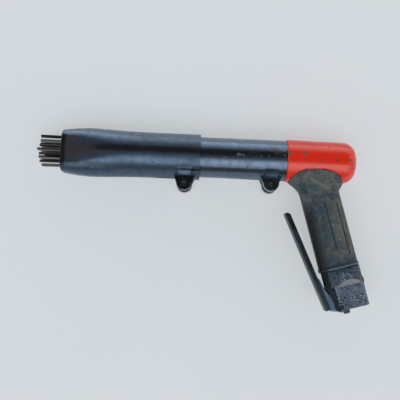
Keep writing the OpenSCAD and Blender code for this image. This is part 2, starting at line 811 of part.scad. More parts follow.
module sleeve_skin() {
    flare = [for (i = [0 : 10]) mix(4, flare_end + 8, i / 10)];
    grip = [for (t = [0.3, 0.65, 1]) mix(flare_end + 8, sleeve_end - 2 * bead_half, t)];
    rolled = [for (t = [0.5, 1, 1.5, 1.9]) sleeve_end - bead_half * (2 - t)];
    rings = [for (s = concat(flare, grip, rolled, [sleeve_end]))
        egg_ring(sleeve_front(s), sleeve_back(s), sleeve_half(s), s)];
    in_handle() skin(rings);
}

// Everything below the arched edge of the saddle
module saddle_limit() {
    deep = 2 * handle_len;
    linear_extrude(4 * head_r, center = true) polygon(concat(
        [for (a = [0 : 6 : 180]) [saddle_x + saddle_half_len * cos(a), saddle_y + saddle_rise * sin(a)]],
        [[-deep, saddle_y], [-deep, -deep], [deep, -deep], [deep, saddle_y]]
    ));
}

module grip_sleeve() {
    color(rubber) placed() difference() {
        intersection() {
            union() {
                sleeve_skin();
                translate([bulge_x, bulge_y, 0]) sphere(r = bulge_r);
            }
            saddle_limit();
        }
        on_barrel() rotate_extrude() head_outline(fit);
        in_handle() {
            cylinder(r = boss_r + fit, h = boss_end + fit);
            translate([0, 0, boss_end - over]) linear_extrude(handle_len) core_outline(fit);
        }
    }
}

// Pressed channel with a tail that swings in the slot of the block
module lever() {
    web_out = -lever_stand;
    web_in = web_out + lever_t;
    color(cast) placed() in_lever() difference() {
        union() {
            difference() {
                intersection() {
                    translate([web_out, -lever_w / 2, -lever_reach]) cube([lever_depth, lever_w, lever_reach - lever_foot]);
                    lever_front_view();
                }
                translate([web_in, lever_t - lever_w / 2, -lever_reach - over])
                    cube([lever_depth, lever_w - 2 * lever_t, lever_reach + 2 * over]);
                across(2 * lever_w) lever_tip_cut(web_in);
            }
            across(tail_t) lever_tail(web_in);
        }
        rotate([90, 0, 0]) cylinder(d = pin_d + 2 * fit, h = 2 * tail_t, center = true);
    }
}

// Front view of the lever, with the rounded corners of its tip
module lever_front_view() {
    r = lever_w / 6;
    half = lever_w / 2;
    translate([-2 * lever_stand, 0, 0]) rotate([90, 0, 90]) linear_extrude(3 * lever_stand) union() {
        for (side = [-1, 1]) translate([side * (half - r), r - lever_reach]) circle(r = r);
        translate([r - half, -lever_reach]) square([lever_w - 2 * r, lever_reach]);
        translate([-half, r - lever_reach]) square([lever_w, lever_reach]);
    }
}

// Sloping end of the two side walls, which run out at the tip of the web
module lever_tip_cut(web_in) {
    top = lever_depth - lever_stand + over;
    polygon([[web_in, -lever_reach - over], [top, -lever_reach - over], [top, lever_depth * 0.75 - lever_reach]]);
}

module lever_tail(web_in) {
    push = pivot_s - valve_s;
    top = lever_depth - lever_stand;
    // The tail ends below the bead of the sleeve
    tail_top = pivot_s - block_top;
    union() {
        circle(r = eye_r);
        polygon([
            [web_in - 0.5, -lever_foot - over], [web_in - 0.5, -tail_top], [top, -tail_top],
            [-edge_stand - 0.9, -min(push * 1.5, tail_top - 2)],
            [-edge_stand, -push], [-edge_stand + 2.2, -push * 0.72], [eye_r * 0.6, -eye_r * 0.8],
            [-eye_r * 0.3, eye_r * 0.95], [-edge_stand, lever_foot + 1.5]
        ]);
    }
}

module lever_pin() {
    color(steel) placed() in_handle() translate([pivot_n, 0, pivot_s]) rotate([90, 0, 0])
        cylinder(d = pin_d, h = flats_w - 2 * pin_sink, center = true);
}

// Hex screw and washer beside the pivot, under the near lug
module pin_lock_screw() {
    head_af = lock_d * 1.75;
    color(steel) placed() in_handle() translate([lock_n, lever_lock_z, handle_len]) {
        cylinder(r = lock_d, h = lock_washer_t);
        hex(head_af, lock_washer_t + lock_head_t);
        translate([0, 0, -lock_len]) cylinder(d = lock_d - fit, h = lock_len + over);
    }
}

// Stem and head of the throttle valve, pushed by the lever tail
module throttle_valve() {
    r = valve_stem_d / 2;
    tip_r = r / 4;
    stem_len = seat_n + run - stem_end_n;
    color(bronze) placed() in_handle() on_throttle(stem_end_n) rotate_extrude() polygon([
        [0, 0], [tip_r, 0], [r, r - tip_r], [r, stem_len], [poppet_r, stem_len], [poppet_r, stem_len + poppet_t],
        [0, stem_len + poppet_t]
    ]);
}

module throttle_seal() {
    cord = 0.8;
    color(rubber) placed() in_handle() on_throttle(seal_n + cord + fit) o_ring(valve_stem_d / 2 + cord + fit, cord);
}

module throttle_spring() {
    z0 = seat_n + run + poppet_t + throttle_wire / 2 + fit;
    z1 = plug_n - throttle_wire / 2 - fit;
    echo(throttle_spring_gap = coil_gap(
        coil_path(throttle_spring_r, z0, z1, throttle_turns, 12), throttle_wire, 12));
    color(steel) placed() in_handle() on_throttle()
        skin(coil_rings(throttle_spring_r, throttle_wire, z0, z1, throttle_turns));
}

// Plug that closes the throttle bore at the back, with a low hex to turn it
module throttle_plug() {
    hex_af = 9;
    hex_t = 1.4;
    color(steel) placed() in_handle() on_throttle(plug_n) union() {
        cylinder(d = valve_bore_d - fit, h = plug_out - plug_n);
        hex(hex_af, plug_out - plug_n + hex_t);
    }
}

// Gauze cup at the end of the inlet thread
module inlet_strainer() {
    r = inlet_d / 2 - 1 - fit;
    wall = 0.8;
    color(bronze) placed() in_handle() translate([inlet_n, 0, handle_len - inlet_depth - strainer_len]) difference() {
        cylinder(r = r, h = strainer_len - 0.5);
        translate([0, 0, wall]) cylinder(r = r - wall, h = strainer_len);
        for (a = [0 : 60 : 300]) rotate(a) translate([r * 0.6, 0, -over]) cylinder(d = 1.6, h = 2 * over + wall);
    }
}

front_tube();
front_clamp_screw();
front_clamp_nut();
rear_tube();
rear_clamp_screw();
rear_clamp_nut();
needles();
needle_holder();
return_spring();
anvil();
anvil_bush();
cylinder_barrel();  // cylinder
cylinder_seal();
piston();
valve_front_plate();
valve_disc();
valve_rear_plate();
head();
handle();
spigot_seal();
grip_sleeve();
lever();
lever_pin();
pin_lock_screw();
throttle_valve();
throttle_seal();
throttle_spring();
throttle_plug();
inlet_strainer();
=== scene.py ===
import bpy
import json
import math
from contextlib import contextmanager
from mathutils import Matrix, Vector


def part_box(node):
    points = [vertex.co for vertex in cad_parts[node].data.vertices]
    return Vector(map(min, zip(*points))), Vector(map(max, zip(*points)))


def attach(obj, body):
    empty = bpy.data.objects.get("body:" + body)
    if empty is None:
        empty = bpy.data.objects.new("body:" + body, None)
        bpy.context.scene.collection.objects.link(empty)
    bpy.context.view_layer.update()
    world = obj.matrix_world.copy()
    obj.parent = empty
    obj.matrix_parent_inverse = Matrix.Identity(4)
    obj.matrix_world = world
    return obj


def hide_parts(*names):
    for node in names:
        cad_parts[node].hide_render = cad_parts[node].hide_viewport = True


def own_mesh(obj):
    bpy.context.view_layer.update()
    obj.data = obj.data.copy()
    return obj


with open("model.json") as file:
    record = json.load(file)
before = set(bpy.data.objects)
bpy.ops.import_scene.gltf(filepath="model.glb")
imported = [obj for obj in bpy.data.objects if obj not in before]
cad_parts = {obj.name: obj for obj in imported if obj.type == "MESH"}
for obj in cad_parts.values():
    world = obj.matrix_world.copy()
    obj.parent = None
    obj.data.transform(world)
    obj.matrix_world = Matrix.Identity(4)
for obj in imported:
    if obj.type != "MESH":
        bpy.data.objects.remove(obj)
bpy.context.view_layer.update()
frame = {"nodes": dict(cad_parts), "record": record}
nodes = frame["nodes"]
slotOf = {part["node"]: part["material_slot"] for part in frame["record"]["subparts"]}
bodyOf = {n: body for body, members in frame["record"]["behaviour"]["bodies"].items() for n in members}
airInlet = frame["record"]["mounts"][0]
barrel = (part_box("piston")[0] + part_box("piston")[1]) / 2  # a point on the barrel axis
xAxis, yAxis, zAxis = Vector((1, 0, 0)), Vector((0, 1, 0)), Vector((0, 0, 1))
down = Vector(airInlet["axis"])  # along the handle, out of its foot
across = Vector((-down.y, down.x, 0))  # square to the handle, from the lever to the plug
print("frame loaded:", len(nodes), "nodes")


# hand tools

def deselectAll():
    if bpy.context.object and bpy.context.object.mode != 'OBJECT':
        bpy.ops.object.mode_set(mode='OBJECT')
    bpy.ops.object.select_all(action='DESELECT')


def pick(piece):
    deselectAll()
    piece.select_set(True)
    bpy.context.view_layer.objects.active = piece


@contextmanager
def editing(piece):  # edit mode with the whole mesh selected
    pick(piece)
    bpy.ops.object.mode_set(mode='EDIT')
    bpy.ops.mesh.select_all(action='SELECT')
    yield
    bpy.ops.object.mode_set(mode='OBJECT')


def runModifier(piece, kind, **settings):
    pick(piece)
    modifier = piece.modifiers.new(kind.title(), kind)
    for key, value in settings.items():
        setattr(modifier, key, value)
    bpy.ops.object.modifier_apply(modifier=modifier.name)


def bevel(piece, width, segments, limit):
    runModifier(piece, 'BEVEL', width=width, segments=segments, limit_method='ANGLE',
                angle_limit=math.radians(limit), use_clamp_overlap=True)


def cylinder(radius, depth, place, sides, turn=(0, 0, 0)):
    deselectAll()
    bpy.ops.mesh.primitive_cylinder_add(vertices=sides, radius=radius, depth=depth, location=place,
                                        rotation=turn)
    return bpy.context.object


def cutAway(piece, cutter):
    runModifier(piece, 'BOOLEAN', operation='DIFFERENCE', object=cutter, solver='EXACT')
    bpy.data.objects.remove(cutter)


def fixPlace(piece):  # the place goes into the mesh
    pick(piece)
    bpy.ops.object.transform_apply(location=True, rotation=True, scale=False)


def smooth(piece, angle):
    pick(piece)
    bpy.ops.object.shade_smooth_by_angle(angle=math.radians(angle))


def copyNode(nodeName, pieceName):
    source = nodes[nodeName]
    piece = source.copy()
    piece.data = source.data.copy()
    bpy.context.scene.collection.objects.link(piece)
    piece.parent = None
    piece.matrix_world = Matrix.Identity(4)
    for key in [k for k in piece.keys() if k.startswith("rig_")]:
        del piece[key]
    piece.name = piece.data.name = pieceName
    with editing(piece):
        bpy.ops.mesh.customdata_custom_splitnormals_clear()
        bpy.ops.mesh.remove_doubles(threshold=0.000004)
        bpy.ops.mesh.mark_sharp(clear=True)
    return piece


def settle(piece, nodeName, material):
    piece.data.materials.clear()
    piece.data.materials.append(material)
    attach(piece, bodyOf[nodeName])
    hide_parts(nodeName)


# shader helpers

def rgb(r, g, b):
    return (r, g, b, 1.0)


def feed(tree, socket, value):
    if isinstance(value, bpy.types.NodeSocket):
        tree.links.new(value, socket)
    else:
        socket.default_value = value


def mathNode(tree, operation, *values, clamp=False):
    node = tree.nodes.new('ShaderNodeMath')
    node.operation = operation
    node.use_clamp = clamp
    for socket, value in zip(node.inputs, values):
        feed(tree, socket, value)
    return node.outputs[0]


def times(tree, first, *others):
    for other in others:
        first = mathNode(tree, 'MULTIPLY', first, other)
    return first


def most(tree, first, *others):
    for other in others:
        first = mathNode(tree, 'MAXIMUM', first, other)
    return first


def minus(tree, a, b):  # never below zero
    return mathNode(tree, 'SUBTRACT', a, b, clamp=True)


def relief(tree, raised, sunk):  # both are a mask and how much of it
    return mathNode(tree, 'SUBTRACT', times(tree, *raised), times(tree, *sunk))


def mixColour(tree, where, under, over):
    node = tree.nodes.new('ShaderNodeMix')
    node.data_type = 'RGBA'
    for index, value in ((0, where), (6, under), (7, over)):
        feed(tree, node.inputs[index], value)
    return node.outputs[2]


def mixValue(tree, where, under, over):
    node = tree.nodes.new('ShaderNodeMix')
    for index, value in ((0, where), (2, under), (3, over)):
        feed(tree, node.inputs[index], value)
    return node.outputs[0]


def coats(tree, look, colour, layers):  # from the lowest up: a colour's name, where it lies, how much of it
    for name, where, share in layers:
        colour = mixColour(tree, times(tree, where, share), colour, look[name])
    return colour


def ramp(tree, value, low, high):
    node = tree.nodes.new('ShaderNodeMapRange')
    node.interpolation_type = 'SMOOTHSTEP'
    for label, given in (('Value', value), ('From Min', low), ('From Max', high)):
        feed(tree, node.inputs[label], given)
    return node.outputs['Result']


def noise(tree, coords, scale, detail=2, roughness=0.5):
    node = tree.nodes.new('ShaderNodeTexNoise')
    for label, given in (('Vector', coords), ('Scale', scale), ('Detail', detail), ('Roughness', roughness)):
        feed(tree, node.inputs[label], given)
    return node.outputs['Fac']


def vectorMath(tree, operation, *values):
    node = tree.nodes.new('ShaderNodeVectorMath')
    node.operation = operation
    for socket, value in zip(node.inputs, values):
        feed(tree, socket, value)
    return node.outputs


def objectCoords(tree):
    return tree.nodes.new('ShaderNodeTexCoord').outputs['Object']


def placedCoords(tree, stretch, shift):
    mapping = tree.nodes.new('ShaderNodeMapping')
    for label, given in (('Vector', objectCoords(tree)), ('Scale', stretch), ('Location', shift)):
        feed(tree, mapping.inputs[label], given)
    return mapping.outputs['Vector']


# shared masks, each a node group

def newGroup(name, **inputs):
    group = bpy.data.node_groups.new(name, 'ShaderNodeTree')
    for label, value in inputs.items():
        kind = 'NodeSocketVector' if isinstance(value, tuple) else 'NodeSocketFloat'
        group.interface.new_socket(name=label, in_out='INPUT', socket_type=kind).default_value = value
    group.interface.new_socket(name="Mask", in_out='OUTPUT', socket_type='NodeSocketFloat')
    return group, group.nodes.new('NodeGroupInput').outputs, group.nodes.new('NodeGroupOutput').inputs['Mask']


def cloudGroup():
    group, given, result = newGroup("cloudMask", Scale=40, Low=0.45, High=0.6, Detail=5,
                                    Stretch=(1, 1, 1), Shift=(0, 0, 0))
    coords = placedCoords(group, given['Stretch'], given['Shift'])
    cloud = noise(group, coords, given['Scale'], given['Detail'], roughness=0.6)
    feed(group, result, ramp(group, cloud, given['Low'], given['High']))
    return group


def fleckGroup():
    group, given, result = newGroup("fleckMask", Scale=300, Size=0.3, Share=0.3,
                                    Stretch=(1, 1, 1), Shift=(0, 0, 0))
    coords = placedCoords(group, given['Stretch'], given['Shift'])
    wobble = noise(group, coords, times(group, given['Scale'], 2.5), detail=3)  # ragged outlines
    cells = group.nodes.new('ShaderNodeTexVoronoi')
    feed(group, cells.inputs['Vector'], coords)
    feed(group, cells.inputs['Scale'], given['Scale'])
    dice = group.nodes.new('ShaderNodeSeparateColor')
    feed(group, dice.inputs['Color'], cells.outputs['Color'])
    chosen = mathNode(group, 'LESS_THAN', dice.outputs['Red'], given['Share'])
    size = times(group, given['Size'], mathNode(group, 'ADD', dice.outputs['Green'], 0.35))
    ragged = mathNode(group, 'MULTIPLY_ADD', wobble, 0.3, -0.15)
    distance = mathNode(group, 'ADD', cells.outputs['Distance'], ragged)
    inside = ramp(group, distance, size, times(group, size, 0.7))
    feed(group, result, times(group, inside, chosen))
    return group


def edgeGroup():
    group, given, result = newGroup("wornEdge", Radius=0.0012, Reach=0.25, Breakup=220)
    rounded = group.nodes.new('ShaderNodeBevel')
    rounded.samples = 6
    feed(group, rounded.inputs['Radius'], given['Radius'])
    plain = group.nodes.new('ShaderNodeNewGeometry')
    turn = vectorMath(group, 'DOT_PRODUCT', rounded.outputs['Normal'], plain.outputs['Normal'])['Value']
    broken = noise(group, placedCoords(group, (1, 1, 1), (0.3, 0.1, 0.2)), given['Breakup'], detail=4)
    rough = times(group, minus(group, 1.0, turn), times(group, broken, 2.0))
    feed(group, result, ramp(group, rough, 0.02, given['Reach']))
    return group


def scratchGroup():
    group, given, result = newGroup("scratchMask", Scale=90, Width=0.012, Share=0.55,
                                    Stretch=(0.12, 1, 1), Shift=(0, 0, 0))
    lines = noise(group, placedCoords(group, given['Stretch'], given['Shift']), given['Scale'])
    off = mathNode(group, 'ABSOLUTE', mathNode(group, 'SUBTRACT', lines, 0.5))
    thin = ramp(group, off, given['Width'], 0.0)
    patches = noise(group, placedCoords(group, (1, 1, 1), (0.7, 0.2, 0.4)), scale=60)
    patch = ramp(group, patches, given['Share'], mathNode(group, 'ADD', given['Share'], 0.1))
    feed(group, result, times(group, thin, patch))
    return group


def spotGroup():
    group, given, result = newGroup("spotMask", Place=(0, 0, 0), Size=(0.003, 0.002, 0.02), Turn=0.0,
                                    Ragged=0.6, Grain=500)
    coords = objectCoords(group)
    turned = group.nodes.new('ShaderNodeVectorRotate')
    turned.rotation_type = 'Z_AXIS'
    feed(group, turned.inputs['Vector'], vectorMath(group, 'SUBTRACT', coords, given['Place'])['Vector'])
    feed(group, turned.inputs['Angle'], given['Turn'])
    sized = vectorMath(group, 'DIVIDE', turned.outputs['Vector'], given['Size'])['Vector']
    reach = vectorMath(group, 'LENGTH', sized)['Value']
    ragged = mathNode(group, 'SUBTRACT', noise(group, coords, given['Grain'], detail=4), 0.5)
    ragged = times(group, ragged, given['Ragged'])
    feed(group, result, ramp(group, mathNode(group, 'ADD', reach, ragged), 1.0, 0.8))
    return group


def zoneGroup():
    group, given, result = newGroup("zoneMask", Along=(0, 1, 0), From=0.0, To=1.0)
    along = vectorMath(group, 'DOT_PRODUCT', objectCoords(group), given['Along'])['Value']
    feed(group, result, ramp(group, along, given['From'], given['To']))
    return group


cloudMask = cloudGroup()
spotMask = spotGroup()
zoneMask = zoneGroup()
fleckMask = fleckGroup()
wornEdge = edgeGroup()
scratchMask = scratchGroup()


def mask(tree, group, **values):
    node = tree.nodes.new('ShaderNodeGroup')
    node.node_tree = group
    for key, value in values.items():
        feed(tree, node.inputs[key], value)
    return node.outputs['Mask']


def zone(tree, along, limits, zero=0.0):  # fades in between two limits, in millimetres from zero
    start, end = limits
    return mask(tree, zoneMask, Along=along, From=zero + start / 1000, To=zero + end / 1000)


def spots(tree, places, ragged, grain, deep=6):
    found = []
    for x, y, z, wide, high, turn in places:  # millimetres on the part, and a turn in degrees
        found.append(mask(tree, spotMask, Place=(x / 1000, y / 1000, z / 1000), Ragged=ragged, Grain=grain,
                          Size=(wide / 1000, high / 1000, deep / 1000), Turn=math.radians(turn)))
    return most(tree, *found)


def facingUp(tree):
    split = tree.nodes.new('ShaderNodeSeparateXYZ')
    feed(tree, split.inputs[0], tree.nodes.new('ShaderNodeNewGeometry').outputs['Normal'])
    return ramp(tree, mathNode(tree, 'ABSOLUTE', split.outputs['Z']), low=0.8, high=0.96)


def newMaterial(name):
    material = bpy.data.materials.new(name)
    material.use_nodes = True
    tree = material.node_tree
    return material, tree, tree.nodes['Principled BSDF']


def dress(tree, shader, colour, rough, metallic=0.0):
    for label, value in (('Base Color', colour), ('Roughness', rough), ('Metallic', metallic)):
        feed(tree, shader.inputs[label], value)


def bump(tree, shader, height, strength, distance):
    node = tree.nodes.new('ShaderNodeBump')
    for label, value in (('Strength', strength), ('Distance', distance), ('Height', height)):
        feed(tree, node.inputs[label], value)
    tree.links.new(node.outputs['Normal'], shader.inputs['Normal'])


# blued steel of both tubes: cloudy blueing, scuffs, pits, sooty lugs and lip, one stain along both; painted
# light: a paler upper flank, a dark reflection band low on the flank, a shadow at the front lug's root and a
# floor reflection on the low lug walls
def makeBluedSteel():
    look = {"blue": rgb(0.092, 0.140, 0.200), "pale": rgb(0.140, 0.196, 0.266),
            "brown": rgb(0.050, 0.046, 0.050), "bare": rgb(0.25, 0.27, 0.30),
            "pit": rgb(0.008, 0.008, 0.010), "rust": rgb(0.12, 0.065, 0.035),
            "sootAndShadow": rgb(0.008, 0.010, 0.013), "rubbed": rgb(0.21, 0.18, 0.135),
            "stain": rgb(0.034, 0.019, 0.016), "speck": rgb(0.42, 0.42, 0.40),
            "bronzed": rgb(0.125, 0.102, 0.108), "upperSheen": rgb(0.25, 0.285, 0.34),
            "darkReflection": rgb(0.040, 0.054, 0.052), "lugWallGlint": rgb(0.64, 0.66, 0.69)}
    rubbedAt = [(42, 79.7, 54, 3.4, 1.7, 0), (47.5, 79.2, 54, 2.0, 1.2, 0)]
    specksAt = [(24, 75.5, 54, 0.6, 0.5, 0), (70, 79, 54, 0.5, 0.5, 0), (79, 79.5, 54, 0.7, 0.5, 0),
                (87.5, 83, 53.8, 0.5, 0.5, 0), (98.5, 80.5, 54, 0.8, 0.6, 0), (97, 88, 52.3, 3.4, 0.45, 22)]
    bronzedAt = [(-172, 78.5, 48.5, 10, 19, 0), (-160, 78.8, 50, 15, 14, 0), (-146, 79.3, 52, 17, 8.5, 0),
                 (-132, 80, 54.5, 17, 4.5, 0), (86, 89, 51.7, 7, 2.6, 10)]
    # painted dark reflection on the low flank of the nose
    darkReflectionAt = [(-160, 60, 46, 26, 6, 4)]
    rootShadowAt = [(-19.5, 58.7, 50, 15, 1.5, 0)]
    heights = {"upperSheen": (9, 26), "darkBandTop": (-13.5, -16.5), "darkBandFoot": (-22, -18.5), "lugs": (-24.5, -26.5),
               "proud": (-29.2, -30), "lipTop": (23, 17), "lipFoot": (-25, -17),
               "stainTop": (9, 4.5), "stainFoot": (-3.5, 1.5)}  # from the barrel axis
    lengths = {"rear": (-6.2, -5.8), "pastNose": (-50, -42), "stain": (-150, -125), "lip": (8.5, 4.5)}
    levels = {"lugWallGlint": (28.5, 27), "stain": (40, 46)}  # above the floor
    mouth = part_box("front_tube")[0].x
    material, tree, shader = newMaterial("bluedSteel")
    high = {key: zone(tree, yAxis, limits, barrel.y) for key, limits in heights.items()}
    cloud = mask(tree, cloudMask, Scale=17, Low=0.46, High=0.68, Stretch=(0.4, 1, 1))
    fine = mask(tree, cloudMask, Scale=120, Low=0.35, High=0.75, Shift=(0.2, 0.5, 0.1))
    scuff = mask(tree, scratchMask, Scale=130, Width=0.014, Share=0.5)
    nick = mask(tree, scratchMask, Scale=70, Width=0.01, Share=0.52, Stretch=(0.8, 0.5, 0.7),
                Shift=(0.3, 0.9, 0.2))
    pits = mask(tree, fleckMask, Scale=210, Size=0.2, Share=0.2)
    rust = mask(tree, fleckMask, Scale=62, Size=0.19, Share=0.05, Shift=(0.014, 0.021, 0.043))
    edge = mask(tree, wornEdge, Radius=0.0011, Reach=0.4)
    rubbed = spots(tree, rubbedAt, ragged=1.3, grain=350)
    specks = spots(tree, specksAt, ragged=0.8, grain=900)
    bronzed = times(tree, spots(tree, bronzedAt, ragged=2.2, grain=260, deep=12),
                    mask(tree, cloudMask, Scale=230, Low=0.28, High=0.5, Shift=(0.4, 0.2, 0.8)))
    stain = times(tree, high["stainTop"], high["stainFoot"], zone(tree, xAxis, lengths["stain"]),
                  zone(tree, zAxis, levels["stain"]),
                  mask(tree, cloudMask, Scale=120, Low=0.15, High=0.5, Stretch=(0.3, 1, 1),
                       Shift=(0.7, 0.4, 0.1)))
    darkBand = times(tree, high["darkBandTop"], high["darkBandFoot"])  # painted dark reflection low on the flank
    darkReflection = most(tree, darkBand, spots(tree, darkReflectionAt, ragged=1.2, grain=200, deep=12))
    facing = facingUp(tree)
    lugs = times(tree, high["lugs"], facing)
    # the low lug's side walls are bare metal, made lighter as a painted reflection of the floor
    lugWallGlint = minus(tree, times(tree, high["proud"], zone(tree, xAxis, lengths["pastNose"])), facing)
    lugWallGlint = times(tree, lugWallGlint, zone(tree, zAxis, levels["lugWallGlint"]),
                mask(tree, cloudMask, Scale=260, Low=0.12, High=0.4, Shift=(0.6, 0.3, 0.1)))
    rear = zone(tree, xAxis, lengths["rear"])  # the rear tube is brighter and smoother
    lip = times(tree, zone(tree, xAxis, lengths["lip"], mouth), high["lipTop"], high["lipFoot"])
    # the lugs and the lip are sooty; the spot at the front lug's root is a painted shadow
    sootyAndShaded = most(tree, lugs, lip, spots(tree, rootShadowAt, ragged=0.8, grain=400, deep=9))
    worn = most(tree, times(tree, scuff, 0.14), times(tree, nick, 0.22), times(tree, edge, 0.4))
    dull = most(tree, rust, rubbed, times(tree, pits, 0.6), specks)
    colour = coats(tree, look, mixColour(tree, rear, look["blue"], look["pale"]), [
        # a paler band along the upper flank, a painted reflection
        ("brown", cloud, mixValue(tree, rear, 0.45, 0.22)), ("upperSheen", high["upperSheen"], 0.55),
        ("bronzed", bronzed, 0.8), ("darkReflection", darkReflection, 0.6), ("pit", fine, 0.25), ("stain", stain, 0.75),
        ("sootAndShadow", sootyAndShaded, mixValue(tree, rear, 0.85, 0.6)), ("lugWallGlint", lugWallGlint, 1), ("bare", worn, 1),
        ("pit", pits, 0.85), ("rust", rust, 0.8), ("rubbed", rubbed, 0.28), ("speck", specks, 1)])
    rough = mixValue(tree, rear, mixValue(tree, fine, 0.34, 0.44), mixValue(tree, fine, 0.24, 0.34))
    dress(tree, shader, colour, mixValue(tree, dull, rough, 0.8), mixValue(tree, dull, 0.94, 0.25))
    bump(tree, shader, relief(tree, (fine, 0.12), (pits, 0.6)), strength=0.35, distance=0.0002)
    return material


# red paint over a casting, chipped through to dark metal
def makeRedPaint():
    look = {"paint": rgb(0.88, 0.027, 0.007), "deep": rgb(0.75, 0.021, 0.006),
            "chip": rgb(0.045, 0.036, 0.030), "primer": rgb(0.30, 0.12, 0.05),
            "grime": rgb(0.14, 0.03, 0.02), "brown": rgb(0.16, 0.10, 0.045)}
    chipsAt = [(134, 94.5, 50.3, 0.7, 0.6, 0), (154, 93.5, 51, 1.1, 1, 0), (142.5, 75.5, 55.5, 2.3, 0.7, 31),
               (163.5, 78, 55.6, 2.6, 0.9, -35), (179, 78.5, 54, 2.6, 1.3, 0), (181.5, 75, 53, 0.9, 2.2, 0),
               (183.5, 69, 50, 0.8, 1.8, 0), (163.7, 98.5, 46.8, 0.8, 0.6, 0), (127, 99, 46.4, 0.8, 0.5, 0),
               (116.5, 72, 54.8, 0.6, 0.5, 0), (136.5, 69.5, 54, 0.6, 0.5, 0), (104, 84, 55, 1.2, 1.6, 0)]
    brownAt = [(105.5, 83.5, 55, 2.3, 2.7, 0), (122.6, 83.7, 55, 2.9, 1.9, 35)]
    flakes = {"Scale": 120, "Share": 0.16, "Stretch": (0.7, 1.2, 0.9), "Shift": (0.013, 0.009, 0.021)}
    material, tree, shader = newMaterial("redPaint")
    cloud = mask(tree, cloudMask, Scale=30, Low=0.4, High=0.7)
    peel = mask(tree, cloudMask, Scale=420, Low=0.3, High=0.7, Detail=2, Shift=(0.1, 0.3, 0.2))
    chips = mask(tree, fleckMask, Size=0.21, **flakes)
    halo = mask(tree, fleckMask, Size=0.25, **flakes)  # primer shows round a chip
    small = mask(tree, fleckMask, Scale=260, Size=0.2, Share=0.1, Shift=(0.03, 0.01, 0.07))
    lines = mask(tree, scratchMask, Scale=60, Width=0.006, Share=0.58, Stretch=(0.5, 0.8, 1),
                 Shift=(0.5, 0.1, 0.6))
    edge = mask(tree, wornEdge, Radius=0.0011, Reach=0.45, Breakup=140)
    brown = spots(tree, brownAt, ragged=1.2, grain=500)
    bare = most(tree, chips, spots(tree, chipsAt, ragged=1.0, grain=600), small, times(tree, edge, 0.55))
    colour = coats(tree, look, look["paint"], [
        ("deep", cloud, 0.5), ("grime", lines, 0.6), ("primer", halo, 1), ("brown", brown, 1),
        ("chip", bare, 1)])
    bare = most(tree, bare, brown)
    dress(tree, shader, colour, mixValue(tree, bare, mixValue(tree, cloud, 0.17, 0.25), 0.7))
    shader.inputs['Specular IOR Level'].default_value = 0.9
    shader.inputs['Specular Tint'].default_value = rgb(1.0, 0.80, 0.72)
    bump(tree, shader, relief(tree, (peel, 0.1), (bare, 1.0)), strength=0.4, distance=0.0002)
    return material


